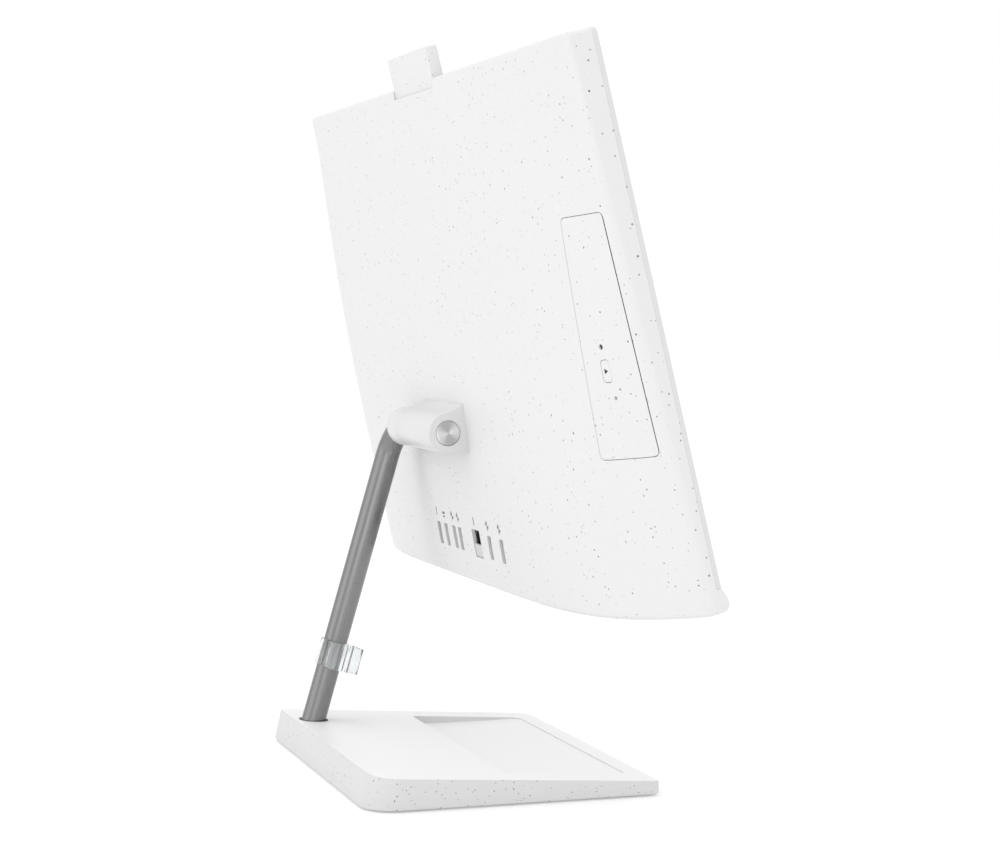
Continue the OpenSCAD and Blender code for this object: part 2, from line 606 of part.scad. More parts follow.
foot_spots = [for (x = [-94, 94], y = [-66, 66]) [x, y]];
module base_bottom() color([0.85, 0.85, 0.85]) difference() {
    translate([0, 0, foot_h]) linear_extrude(2.1) base_plan(base_wall + 0.2);
    for (p = foot_spots) translate([p[0], p[1], 0]) cylinder(h = 2, r = 9.1);
    for (p = screw_spots) translate([p[0], p[1], 0]) cylinder(h = 5, r = 1.65);
}
module base_feet() color([0.25, 0.25, 0.26]) for (p = foot_spots) translate([p[0], p[1], 0])
    cylinder(h = 2, r = 9);
module base_screws() color([0.3, 0.3, 0.32]) for (p = screw_spots) translate([p[0], p[1], 1.0])
    cylinder(h = 4.4, r = 1.45);
// steel flange that holds the foot of the post and is screwed to the weight
module post_flange() color([0.5, 0.51, 0.53]) difference() {
    translate([post_x - 28, 28, 7]) cube([56, 55.6, 5]);
    along_post() translate([post_x, 0, -240]) cylinder(h = 70, r = post_r + 0.02);
    for (x = flange_x, y = flange_y) translate([post_x + x, y, 0]) cylinder(h = 20, r = 2.05);
}
module flange_screws() color([0.3, 0.3, 0.32]) for (x = flange_x, y = flange_y)
    translate([post_x + x, y, 3.6]) union() {
        cylinder(h = 8.4, r = 2);
        translate([0, 0, 8.4]) cylinder(h = 2, r = 3.4);
    }
module post_grommet() color([0.3, 0.3, 0.31]) intersection() {
    along_post() difference() {
        translate([post_x, 0, -post_len]) cylinder(h = post_len, r = post_r + 1.5);
        translate([post_x, 0, -post_len - 1]) cylinder(h = post_len + 2, r = post_r + 0.05);
    }
    difference() {
        base_side(0, 0, -0.3);
        base_side(-1, -1, lid);
    }
}

// ---------- cable clip ----------
clip_at = -165;
module cable_clip() color([0.85, 0.88, 0.9, 0.5]) along_post() translate([post_x, 0, clip_at])
    rotate([0, 0, -75]) difference() {
        union() {
            cylinder(h = 17, r = post_r + 2);
            translate([-10, -22, 0]) cube([20, 18, 17]);
        }
        translate([0, 0, -1]) cylinder(h = 19, r = post_r + 0.06);
        translate([-8.6, -20.6, -1]) cube([17.2, 10.6, 19]);
        translate([-3, 0, -1]) cube([6, 20, 19]);
    }

back_cover();
front_frame();
chin_bar();
display_glass();
lcd_module();
chassis_plate();
motherboard();
cpu_heat_sink();
heat_pipe();
fin_stack();
fan_housing();
fan_rotor();
memory_modules();
solid_state_drive();
wireless_card();
hard_drive();
hard_drive_caddy();
speaker_left();
speaker_right();
io_board();
io_ribbon();
power_inlet();
video_port();
usb_ports();
network_jack();
network_jack_flap();
optical_drive();
disc_tray();
drive_bezel();
eject_button();
disc_hub();
camera_housing();
camera_window();
camera_lens();
camera_board();
camera_guide();
power_button();
power_button_board();
cover_screws();
hinge_bracket();
hinge_block();
hinge_bushes();
hinge_spring_washers();
hinge_screws();
post();
post_end_cap();
post_grommet();
post_flange();
flange_screws();
cable_clip();
base_top();
base_shell();
base_weight();
base_bottom();
base_screws();
base_feet();
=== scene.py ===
"""Looks of an all-in-one desktop computer on a one-post stand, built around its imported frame."""

import json
import math

import bmesh
import bpy
from mathutils import Matrix, Vector
from mathutils.bvhtree import BVHTree
from mathutils.interpolate import poly_3d_calc


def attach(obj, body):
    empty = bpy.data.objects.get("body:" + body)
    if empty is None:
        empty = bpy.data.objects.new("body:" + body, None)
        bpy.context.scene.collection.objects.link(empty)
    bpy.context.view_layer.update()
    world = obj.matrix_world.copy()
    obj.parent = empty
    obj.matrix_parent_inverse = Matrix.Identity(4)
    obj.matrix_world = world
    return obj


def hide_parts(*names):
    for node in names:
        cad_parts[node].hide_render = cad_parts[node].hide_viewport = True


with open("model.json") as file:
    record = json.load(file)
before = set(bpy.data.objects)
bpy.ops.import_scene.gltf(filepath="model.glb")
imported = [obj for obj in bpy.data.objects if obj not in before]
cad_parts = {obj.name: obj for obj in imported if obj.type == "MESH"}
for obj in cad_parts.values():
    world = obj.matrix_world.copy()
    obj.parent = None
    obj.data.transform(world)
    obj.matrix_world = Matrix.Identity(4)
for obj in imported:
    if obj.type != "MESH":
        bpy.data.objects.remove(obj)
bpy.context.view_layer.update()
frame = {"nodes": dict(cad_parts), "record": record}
nodes = frame["nodes"]
scene = bpy.context.scene

MM = 0.001
PANEL_Y, PANEL_Z, TILT = -64.8, 129.3, math.radians(14.1)
HINGE_Y, HINGE_Z, POST_LEAN = 17.6, 213.6, math.radians(16)
# local frames of the head, the hinge axis and the leaning post: metres, same place as in the frame
HEAD = Matrix.Translation((0, PANEL_Y * MM, PANEL_Z * MM)) @ Matrix.Rotation(-TILT, 4, "X")
HINGE = Matrix.Translation((0, HINGE_Y * MM, HINGE_Z * MM))
POST = HINGE @ Matrix.Rotation(POST_LEAN, 4, "X")
TABLE = Matrix.Identity(4)

# head, in millimetres: x across, t back from the front plane, h up the panel
HALF_W, HEAD_H = 270.4, 314.0
TOP_DEPTH, DOME_DEPTH, SIDE_DEPTH = 18.3, 54.0, 8.0
DOME_POWER, DOME_FALL = 5.0, 1.5
FAR_POWER, FAR_POWER_RISE = 8.0, 28.0  # the side away from the drive is fuller, more so towards the top
WALL, FRAME_T, CHIN_H = 2.2, 2.8, 14.0
DRIVE_X0, DRIVE_X1, DRIVE_MID, DRIVE_LEN = -264.8, -225.0, 155.5, 131.0
EJECT_X, EJECT_H = -242.0, 137.8
LAMP_X, LAMP_H, RELEASE_X, RELEASE_H = -241.5, 151.0, -245.0, 123.0
GAP = 0.3
SCREW_X, SCREW_T = (-225, -30, 30, 225), 13
PORT_H = 28.0
USB_X, INLET_X, VIDEO_X, NETWORK_X = (24.0, 12.0, -48.0, -71.0), 57.0, 41.5, -22.0
BARREL_R, BARREL_X0, BARREL_X1, BLOCK_X1 = 12.5, -37.0, 58.0, 44.0
BLOCK_H = (86.5, 117.0)
CAM_X, CAM_W, CAM_T, CAM_LO, CAM_HI, LENS_H = 5.0, 84.4, (10.4, 17.9), 286.0, 333.3, 324.25
POST_X, POST_R, POST_LEN, BEND_R = 80.0, 7.8, 208.2, 22.0
BASE_W, BASE_D, BASE_BACK, BASE_FRONT, LEAN_BACK = 242.0, 181.0, 20.9, 9.0, 3.9
BARREL_T = (HINGE_Y - PANEL_Y) * math.cos(TILT) - (HINGE_Z - PANEL_Z) * math.sin(TILT)
BARREL_H = (HINGE_Y - PANEL_Y) * math.sin(TILT) + (HINGE_Z - PANEL_Z) * math.cos(TILT)


def side_t(v):
    return SIDE_DEPTH + (TOP_DEPTH - SIDE_DEPTH) * v


def mid_t(v):
    return TOP_DEPTH + (DOME_DEPTH - TOP_DEPTH) * (1 - max(0.0, v) ** DOME_FALL)


def back_t(x, h):
    """Depth of the curved back."""
    v = h / HEAD_H
    power = DOME_POWER if x < 0 else FAR_POWER + FAR_POWER_RISE * v * v
    return side_t(v) + (mid_t(v) - side_t(v)) * (1 - min(1.0, abs(x) / HALF_W) ** power)


# ---------------------------------------------------------------- mesh helpers
def piece(name, verts, faces, place, body, stands_for=(), material=None, smooth=35):
    """A mesh object from vertices in millimetres in a local frame, riding on a body."""
    mesh = bpy.data.meshes.new(name)
    mesh.from_pydata([tuple(c * MM for c in v) for v in verts], [], faces)
    bm = bmesh.new()
    bm.from_mesh(mesh)
    bmesh.ops.remove_doubles(bm, verts=bm.verts, dist=1e-7)
    bmesh.ops.recalc_face_normals(bm, faces=bm.faces)
    bm.to_mesh(mesh)
    bm.free()
    obj = bpy.data.objects.new(name, mesh)
    scene.collection.objects.link(obj)
    obj.matrix_world = place
    soften(obj, smooth)
    if body:
        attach(obj, body)
        if stands_for:
            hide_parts(*stands_for)
    if material:
        obj.data.materials.append(material)
    return obj


def soften(obj, angle):
    for p in obj.data.polygons:
        p.use_smooth = True
    obj.data.set_sharp_from_angle(angle=math.radians(angle))


def axis_map(axis, u, v, s):
    return {"t": (u, s, v), "x": (s, u, v), "z": (u, v, s)}[axis]


def prism(outline, a, b, axis, edge=0.0, segments=3, sharp=30):
    """Closed prism of a 2-D outline from a to b along an axis, its sharp edges rounded.
    Returns (verts, faces)."""
    n = len(outline)
    bm = bmesh.new()
    low = [bm.verts.new(axis_map(axis, u, v, a)) for u, v in outline]
    high = [bm.verts.new(axis_map(axis, u, v, b)) for u, v in outline]
    bm.faces.new(low)
    bm.faces.new(high[::-1])
    for i in range(n):
        j = (i + 1) % n
        bm.faces.new((low[i], high[i], high[j], low[j]))
    bmesh.ops.recalc_face_normals(bm, faces=bm.faces)
    if edge > 0:
        chosen = [e for e in bm.edges if e.calc_face_angle(0) > math.radians(sharp)]
        bmesh.ops.bevel(bm, geom=chosen, offset=edge, segments=segments, profile=0.5, affect="EDGES",
                        clamp_overlap=True)
    verts = [tuple(v.co) for v in bm.verts]
    bm.verts.index_update()
    faces = [[v.index for v in f.verts] for f in bm.faces]
    bm.free()
    return verts, faces


def join(*parts):
    verts, faces = [], []
    for v, f in parts:
        n = len(verts)
        verts += v
        faces += [[i + n for i in face] for face in f]
    return verts, faces


def arc(cx, cy, r, a0, a1, n):
    return [(cx + r * math.cos(math.radians(a0 + (a1 - a0) * i / n)),
             cy + r * math.sin(math.radians(a0 + (a1 - a0) * i / n))) for i in range(n + 1)]


def rounded(cx, cy, w, h, r, n=8):
    """Rounded rectangle; r is one radius, or four from lower right anticlockwise to lower left."""
    r = [r] * 4 if not hasattr(r, "__len__") else r
    x, y = w / 2, h / 2
    return (arc(cx + x - r[0], cy - y + r[0], r[0], -90, 0, n) + arc(cx + x - r[1], cy + y - r[1], r[1], 0,
                                                                     90, n)
            + arc(cx - x + r[2], cy + y - r[2], r[2], 90, 180,
                  n) + arc(cx - x + r[3], cy - y + r[3], r[3], 180, 270, n))


def box(x0, x1, t0, t1, h0, h1):
    return prism([(x0, t0), (x1, t0), (x1, t1), (x0, t1)], h0, h1, "z")


def peg(x, h, r, t0, t1, n=32, edge=0.0):
    return prism(arc(x, h, r, 0, 360 * (n - 1) / n, n - 1), t0, t1, "t", edge)


def rod(cy, cz, r, x0, x1, n=64, edge=0.0, segments=3):
    return prism(arc(cy, cz, r, 0, 360 * (n - 1) / n, n - 1), x0, x1, "x", edge, segments)


def eased(a, b, n, ease=0.6):
    """Grid places from a to b, closer together near both ends."""
    out = []
    for i in range(n + 1):
        s = i / n
        c = 0.5 - 0.5 * math.cos(math.pi * s)
        out.append(a + (b - a) * (ease * c + (1 - ease) * s))
    return out


def skin(x0, x1, h0, h1, corners, rims, surface, margin, cols, rows, inset=0.0, turns=6, corner_n=6):
    """Top skin of a rounded slab: a grid on `surface`, rounded down at its rim.
    corners and rims go lower right, upper right, upper left, lower left, and bottom, right, top, left.
    Returns (verts, faces, wall): wall is the ring of vertices where the side starts."""
    xs = eased(x0 + margin, x1 - margin, cols)
    hs = eased(h0 + margin, h1 - margin, rows)
    verts = [(x, surface(x, h), h) for h in hs for x in xs]
    grid = lambda i, j: j * (cols + 1) + i
    ring = [((x, h0), (0, -1), rims[0], grid(i, 0)) for i, x in enumerate(xs)]

    def turn(cx, ch, r, a0, ra, rb, g):
        for k in range(corner_n + 1):
            a = math.radians(a0 + 90 * k / corner_n)
            n = (math.cos(a), math.sin(a))
            ring.append(((cx + r * n[0], ch + r * n[1]), n, ra + (rb - ra) * k / corner_n, g))

    turn(x1 - corners[0], h0 + corners[0], corners[0], -90, rims[0], rims[1], grid(cols, 0))
    ring += [((x1, h), (1, 0), rims[1], grid(cols, j)) for j, h in enumerate(hs)]
    turn(x1 - corners[1], h1 - corners[1], corners[1], 0, rims[1], rims[2], grid(cols, rows))
    ring += [((x, h1), (0, 1), rims[2], grid(i, rows)) for i, x in reversed(list(enumerate(xs)))]
    turn(x0 + corners[2], h1 - corners[2], corners[2], 90, rims[2], rims[3], grid(0, rows))
    ring += [((x0, h), (-1, 0), rims[3], grid(0, j)) for j, h in reversed(list(enumerate(hs)))]
    turn(x0 + corners[3], h0 + corners[3], corners[3], 180, rims[3], rims[0], grid(0, 0))
    # a straight side ends where the next corner starts only when margin = radius
    n = len(ring)
    faces = []
    last = None
    wall = None
    for k in range(turns + 1):
        phi = math.pi / 2 * k / turns
        start = len(verts)
        for p, nn, r, _ in ring:
            d = inset + r * (1 - math.cos(phi))
            x, h = p[0] - nn[0] * d, p[1] - nn[1] * d
            verts.append((x, surface(x, h) - r * (1 - math.sin(phi)), h))
        if last is None:
            wall = list(range(start, start + n))
        else:
            for i in range(n):
                j = (i + 1) % n
                faces.append([last + i, last + j, start + j, start + i])
        last = start
    for i in range(n):
        j = (i + 1) % n
        gi, gj = ring[i][3], ring[j][3]
        faces.append([last + i, last + j, gj, gi] if gi != gj else [last + i, last + j, gi])
    for j in range(rows):
        for i in range(cols):
            faces.append([grid(i, j), grid(i + 1, j), grid(i + 1, j + 1), grid(i, j + 1)])
    return verts, faces, wall


def band(faces, ring_a, ring_b):
    n = len(ring_a)
    for i in range(n):
        j = (i + 1) % n
        faces.append([ring_a[i], ring_a[j], ring_b[j], ring_b[i]])


def cut(obj, cutters, keep=True, mode="DIFFERENCE"):
    """Boolean of obj with cutters (verts, faces) in its own frame.
    keep holds the smooth shading of the old surface."""
    src = obj.data
    tree = normals = None
    if keep:
        vs = [v.co.copy() for v in src.vertices]
        polys = [list(p.vertices) for p in src.polygons]
        tree = BVHTree.FromPolygons(vs, polys)
        normals = [[src.corner_normals[i].vector.copy() for i in p.loop_indices] for p in src.polygons]
    tool = piece("cutter", cutters[0], cutters[1], obj.matrix_world, None)
    mod = obj.modifiers.new("cut", "BOOLEAN")
    mod.operation = mode
    mod.solver = "EXACT"
    mod.use_self = False
    mod.object = tool
    bpy.context.view_layer.update()
    new = bpy.data.meshes.new_from_object(obj.evaluated_get(bpy.context.evaluated_depsgraph_get()))
    obj.modifiers.remove(mod)
    obj.data = new
    bpy.data.objects.remove(tool)
    soften(obj, 35)
    if keep:
        out = [None] * len(new.loops)
        for p in new.polygons:
            c = p.center
            for li in p.loop_indices:
                co = new.vertices[new.loops[li].vertex_index].co
                n = p.normal
                q = co.lerp(c, 0.02)
                hit, _, idx, dist = tree.find_nearest(q)
                if hit is not None and dist < 4e-5:
                    pv = [vs[i] for i in polys[idx]]
                    w = poly_3d_calc(pv, co)
                    m = Vector((0, 0, 0))
                    for k, weight in enumerate(w):
                        m += normals[idx][k] * weight
                    if m.length > 0.5 and m.normalized().dot(p.normal) > 0.8:
                        n = m.normalized()
                out[li] = n
        new.normals_split_custom_set(out)
    return obj


def bevel_edges(obj, width, segments=3, angle=30):
    mod = obj.modifiers.new("edges", "BEVEL")
    mod.width = width * MM
    mod.segments = segments
    mod.limit_method = "ANGLE"
    mod.angle_limit = math.radians(angle)
    mod.harden_normals = False
    mod.use_clamp_overlap = True
    weigh(obj)
    return obj


def weigh(obj):
    mod = obj.modifiers.new("shading", "WEIGHTED_NORMAL")
    mod.keep_sharp = True
    mod.weight = 80


# ---------------------------------------------------------------- materials
def new_material(name):
    m = bpy.data.materials.new(name)
    m.use_nodes = True
    return m, m.node_tree, m.node_tree.nodes["Principled BSDF"]


def node(tree, kind, links=None, **values):
    n = tree.nodes.new(kind)
    for k, v in values.items():
        setattr(n, k, v)
    for socket, source in (links or {}).items():
        if isinstance(source, bpy.types.NodeSocket):
            tree.links.new(source, n.inputs[socket])
        else:
            n.inputs[socket].default_value = source
    return n


def object_coords(tree, stretch=(1, 1, 1)):
    tc = node(tree, "ShaderNodeTexCoord")
    return node(tree, "ShaderNodeMapping", {"Vector": tc.outputs["Object"], "Scale": stretch}).outputs[0]


def noise(tree, coords, scale, detail=4.0, rough=0.55):
    return node(tree, "ShaderNodeTexNoise",
                {"Vector": coords, "Scale": scale, "Detail": detail, "Roughness": rough}).outputs["Fac"]


def remap(tree, value, a, b, lo=0.3, hi=0.7):
    return node(tree, "ShaderNodeMapRange", {"Value": value, "From Min": lo, "From Max": hi, "To Min": a,
                                             "To Max": b}).outputs[0]


def mix_colour(tree, fac, a, b):
    m = node(tree, "ShaderNodeMix", data_type="RGBA")
    for s, v in ((m.inputs[0], fac), (m.inputs[6], a), (m.inputs[7], b)):
        if isinstance(v, bpy.types.NodeSocket):
            tree.links.new(v, s)
        else:
            s.default_value = v
    return m.outputs[2]


def tone(c, k=1.0):
    return (*(min(1.0, x * k) for x in c[:3]), 1.0)


def flecks(tree, coords, colour, cell, radius, share, dark, strength):
    """Round-ish flecks of many sizes cast into the plastic. cell and radius in millimetres."""
    wobble = node(tree, "ShaderNodeTexNoise", {"Vector": coords, "Scale": 900.0, "Detail": 2.0})
    bent = node(tree, "ShaderNodeVectorMath", {0: wobble.outputs["Color"], 1: (0.0007, 0.0007, 0.0007)},
                operation="MULTIPLY")
    place = node(tree, "ShaderNodeVectorMath", {0: coords, 1: bent.outputs[0]}, operation="ADD")
    vor = node(tree, "ShaderNodeTexVoronoi", {"Vector": place.outputs[0], "Scale": 1000.0 / cell,
                                              "Randomness": 1.0})
    pick = node(tree, "ShaderNodeSeparateColor", {0: vor.outputs["Color"]})
    size = remap(tree, pick.outputs[0], -0.25 * radius / cell, radius / cell, 1 - share, 1.0)
    inside = node(tree, "ShaderNodeMath", {0: size, 1: vor.outputs["Distance"]},
                  operation="SUBTRACT").outputs[0]
    mask = remap(tree, inside, 0.0, 1.0, 0.0, 0.16 * radius / cell)
    depth = remap(tree, pick.outputs[1], 0.35 * strength, strength, 0.0, 1.0)
    fac = node(tree, "ShaderNodeMath", {0: mask, 1: depth}, operation="MULTIPLY").outputs[0]
    return mix_colour(tree, fac, colour, tone(dark))


def surface(name, colour, rough, metal=0.0, vary=0.03, vary_scale=30.0, rough_vary=0.05, grain=0.0,
            grain_scale=2500.0, stretch=(1, 1, 1), fleck=None, sockets=None):
    """Principled surface: slow colour and gloss variation, fine grain as bump, optional cast-in flecks."""
    m, tree, bsdf = new_material(name)
    flat = object_coords(tree)
    drawn = object_coords(tree, stretch) if stretch != (1, 1, 1) else flat
    slow = noise(tree, flat, vary_scale)
    fine = noise(tree, drawn, grain_scale, 3.0, 0.6)
    col = mix_colour(tree, slow, tone(colour, 1 - vary), tone(colour, 1 + vary))
    if metal > 0.5:
        col = mix_colour(tree, remap(tree, fine, 0.0, 0.5, 0.3, 0.7), col, tone(colour, 0.86))
    for f in fleck or ():
        col = flecks(tree, flat, col, *f)
    tree.links.new(col, bsdf.inputs["Base Color"])
    both = node(tree, "ShaderNodeMath", {0: fine, 1: slow}, operation="ADD").outputs[0]
    tree.links.new(remap(tree, both, max(0.01, rough - rough_vary), rough + rough_vary, 0.7, 1.3),
                   bsdf.inputs["Roughness"])
    bsdf.inputs["Metallic"].default_value = metal
    if grain > 0:
        bump = node(tree, "ShaderNodeBump", {"Height": fine, "Strength": grain, "Distance": 0.0002})
        tree.links.new(bump.outputs[0], bsdf.inputs["Normal"])
    for k, v in (sockets or {}).items():
        bsdf.inputs[k].default_value = v
    return m


FLECKS = ((3.0, 0.7, 0.65, (0.10, 0.10, 0.11), 0.95), (2.2, 0.42, 0.6, (0.2, 0.2, 0.21), 0.8))
WHITE = (0.72, 0.72, 0.72)
# painted shade: the base's sides get a darker white than the head shell, and its upward faces get a brighter
# white further down, for the light on the top and the shade at the sides
BASE_WHITE_PAINTED_SHADE = (0.64, 0.64, 0.64)
MATS = {
    "shell": surface("speckled_white_plastic", WHITE, 0.42, grain=0.16, grain_scale=2600, fleck=FLECKS,
                     vary=0.012),
    "plain_white": surface("satin_white_plastic", (0.66, 0.66, 0.66), 0.33, grain=0.06, grain_scale=3200,
                           vary=0.01),
    "clear": None,
    "post_metal": surface("drawn_steel", (0.25, 0.25, 0.25), 0.27, 1.0, grain=0.10, grain_scale=900,
                          stretch=(1, 1, 0.02),
                          vary=0.04, rough_vary=0.05),
    "cap_metal": None,
    "screen_glass": surface("black_screen_glass", (0.008, 0.008, 0.009), 0.06, grain=0.0, rough_vary=0.015,
                            sockets={"Coat Weight": 0.5, "Coat Roughness": 0.02}),
    "lcd_metal": surface("folded_aluminium", (0.62, 0.63, 0.64), 0.36, 1.0, grain=0.2, grain_scale=700,
                         stretch=(0.05, 1, 1)),
    "steel_sheet": surface("galvanised_sheet", (0.55, 0.56, 0.57), 0.42, 1.0, grain=0.15, vary=0.12,
                           vary_scale=120),
    "board": surface("green_solder_mask", (0.03, 0.15, 0.07), 0.32, grain=0.3, grain_scale=1800, vary=0.15,
                     vary_scale=300),
    "copper": surface("bright_copper", (0.75, 0.38, 0.24), 0.28, 1.0, grain=0.15, vary=0.08),
    "black_plastic": surface("black_moulded_plastic", (0.022, 0.022, 0.024), 0.5, grain=0.5,
                             grain_scale=2200, vary=0.1),
    "dark_rubber": surface("dark_rubber", (0.08, 0.08, 0.082), 0.75, grain=0.6, grain_scale=1600, vary=0.1),
    "screw_steel": surface("dark_zinc_screw", (0.28, 0.28, 0.29), 0.33, 1.0, grain=0.2, vary=0.1,
                           vary_scale=400),
    "bronze": surface("sintered_bronze", (0.45, 0.31, 0.15), 0.4, 1.0, grain=0.4, vary=0.12, vary_scale=600),
    "port_metal": surface("nickel_plated_shell", (0.50, 0.51, 0.52), 0.3, 1.0, grain=0.12, vary=0.05,
                          vary_scale=200),
    "grey_plastic": surface("light_grey_plastic", (0.58, 0.58, 0.585), 0.42, grain=0.2, vary=0.03),
    "chin_fabric": None,
    "weight_iron": surface("coated_iron", (0.07, 0.07, 0.075), 0.6, grain=0.7, grain_scale=900, vary=0.15),
    "lens_glass": surface("coated_lens", (0.01, 0.01, 0.02), 0.03, rough_vary=0.01,
                          sockets={"Coat Weight": 1.0}),
}


def clear_material():
    m, tree, bsdf = new_material("clear_polycarbonate")
    fine = noise(tree, object_coords(tree), 260.0)
    tree.links.new(remap(tree, fine, 0.02, 0.07), bsdf.inputs["Roughness"])
    tree.links.new(mix_colour(tree, fine, (0.93, 0.95, 0.955, 1), (0.97, 0.98, 0.98, 1)),
                   bsdf.inputs["Base Color"])
    bsdf.inputs["Transmission Weight"].default_value = 1.0
    bsdf.inputs["IOR"].default_value = 1.5
    return m


def turned_material():
    """Turned end face: fine rings about the hinge axis, gloss stretched across them, and a painted bow-tie
    highlight: the colour runs lighter and darker in two pairs of sectors around the axis.
    """
    m, tree, bsdf = new_material("turned_steel_painted_highlight")
    tc = node(tree, "ShaderNodeTexCoord")
    flat = node(tree, "ShaderNodeVectorMath", {0: tc.outputs["Object"], 1: (0.0, 1.0, 1.0)},
                operation="MULTIPLY")
    dist = node(tree, "ShaderNodeVectorMath", {0: flat.outputs[0]}, operation="LENGTH").outputs["Value"]
    rings = node(tree, "ShaderNodeTexNoise", {"W": dist, "Scale": 5200.0, "Detail": 2.0},
                 noise_dimensions="1D").outputs["Fac"]
    # painted highlight: lighter and darker sectors of base colour around the axis stand in for the bow-tie
    # reflection of the turned face
    part = node(tree, "ShaderNodeSeparateXYZ", {0: tc.outputs["Object"]})
    angle = node(tree, "ShaderNodeMath", {0: part.outputs[2], 1: part.outputs[1]},
                 operation="ARCTAN2").outputs[0]
    twice = node(tree, "ShaderNodeMath", {0: angle, 1: 2.0, 2: 0.5}, operation="MULTIPLY_ADD").outputs[0]
    painted_highlight_sectors = remap(tree, node(tree, "ShaderNodeMath", {0: twice}, operation="COSINE").outputs[0], 0.0, 1.0,
                    -0.6, 1.0)
    light = mix_colour(tree, painted_highlight_sectors, (0.50, 0.50, 0.50, 1), (0.85, 0.85, 0.85, 1))
    dark = mix_colour(tree, painted_highlight_sectors, (0.40, 0.40, 0.40, 1), (0.70, 0.70, 0.70, 1))
    tree.links.new(mix_colour(tree, rings, dark, light), bsdf.inputs["Base Color"])
    tree.links.new(remap(tree, rings, 0.26, 0.36), bsdf.inputs["Roughness"])
    bump = node(tree, "ShaderNodeBump", {"Height": rings, "Strength": 0.12, "Distance": 0.00005})
    tree.links.new(bump.outputs[0], bsdf.inputs["Normal"])
    around = node(tree, "ShaderNodeTangent", direction_type="RADIAL", axis="X")
    tree.links.new(around.outputs[0], bsdf.inputs["Tangent"])
    bsdf.inputs["Metallic"].default_value = 1.0
    bsdf.inputs["Anisotropic"].default_value = 0.85
    return m


MATS["clear"] = clear_material()
MATS["cap_metal"] = turned_material()
MATS["chin_fabric"] = surface("speckled_white_chin", WHITE, 0.4, grain=0.16, grain_scale=2600, fleck=FLECKS,
                              vary=0.012)
# painted light and shade on the base: the speckled sides take the darker white and the smooth top the
# brighter one; the finish differs for real, the brightness difference stands in for light on the top
MATS["base_shell"] = surface("speckled_base_plastic_painted_shade", BASE_WHITE_PAINTED_SHADE, 0.42, grain=0.16, grain_scale=2600,
                             fleck=FLECKS, vary=0.012)
MATS["base_top"] = surface("smooth_white_top_painted_light", (0.86, 0.86, 0.86), 0.4, grain=0.06, grain_scale=3000,
                           vary=0.008)
MATS["mark"] = surface("grey_print", (0.10, 0.10, 0.11), 0.5, grain=0.1, vary=0.05)
MATS["ink"] = surface("black_print", (0.015, 0.015, 0.016), 0.4, grain=0.1, vary=0.05)

slot_of = {s["node"]: s["material_slot"] for s in frame["record"]["subparts"]}
for name, obj in nodes.items():
    obj.data.materials.clear()
    obj.data.materials.append(MATS[slot_of[name]])


def make(name, shape, place, body, slot, stands_for=(), material=None, smooth=35):
    return piece(name, shape[0], shape[1], place, body, stands_for, material or MATS[slot], smooth)


# ---------------------------------------------------------------- camera
AZIMUTH, ELEVATION, ROLL, DISTANCE = 251.519, 2.771, 0.338, 1429.26 * MM
TARGET = Vector((0, -28.17 * MM, 216.51 * MM))
az, el, roll = (math.radians(a) for a in (AZIMUTH, ELEVATION, ROLL))
back = Vector((math.sin(az) * math.cos(el), -math.cos(az) * math.cos(el), math.sin(el)))
right = (-back).cross(Vector((0, 0, 1))).normalized()
up = right.cross(-back).normalized()
cam_data = bpy.data.cameras.new("camera")
cam_data.sensor_width = 36.0
cam_data.lens = 81.13
cam_data.clip_end = 50.0
camera = bpy.data.objects.new("camera", cam_data)
scene.collection.objects.link(camera)
r2 = right * math.cos(roll) + up * math.sin(roll)
u2 = -right * math.sin(roll) + up * math.cos(roll)
turned = Matrix((r2, u2, back)).transposed().to_4x4()
camera.matrix_world = Matrix.Translation(TARGET + back * DISTANCE) @ turned
scene.camera = camera

# ---------------------------------------------------------------- back cover
COLS, ROWS, MARGIN = 150, 96, 6.0
OUT_CORNERS = (5.4, 4.0, 4.0, 5.4)
OUT_RIMS = (3.8, 3.4, 1.6, 3.4)


def cover_shape():
    v1, f1, wall1 = skin(-HALF_W, HALF_W, 0, HEAD_H, OUT_CORNERS, OUT_RIMS, back_t, MARGIN, COLS, ROWS)
    inner = lambda x, h: back_t(x, h) - WALL
    v2, f2, wall2 = skin(-HALF_W, HALF_W, 0, HEAD_H, OUT_CORNERS, [max(0.6, r - WALL) for r in OUT_RIMS],
                         inner,
                         MARGIN + WALL, COLS, ROWS, inset=WALL)
    n = len(v1)
    verts = v1 + v2
    faces = f1 + [[i + n for i in f] for f in f2]
    wall2 = [i + n for i in wall2]
    rings = []
    for wall_ring in (wall1, wall2):
        start = len(verts)
        verts += [(verts[i][0], FRAME_T, verts[i][2]) for i in wall_ring]
        front = list(range(start, start + len(wall_ring)))
        band(faces, wall_ring, front)
        rings.append(front)
    band(faces, rings[0], rings[1])
    return verts, faces


cover = make("back_cover_shell", cover_shape(), HEAD, "head", "shell", ("back_cover",))

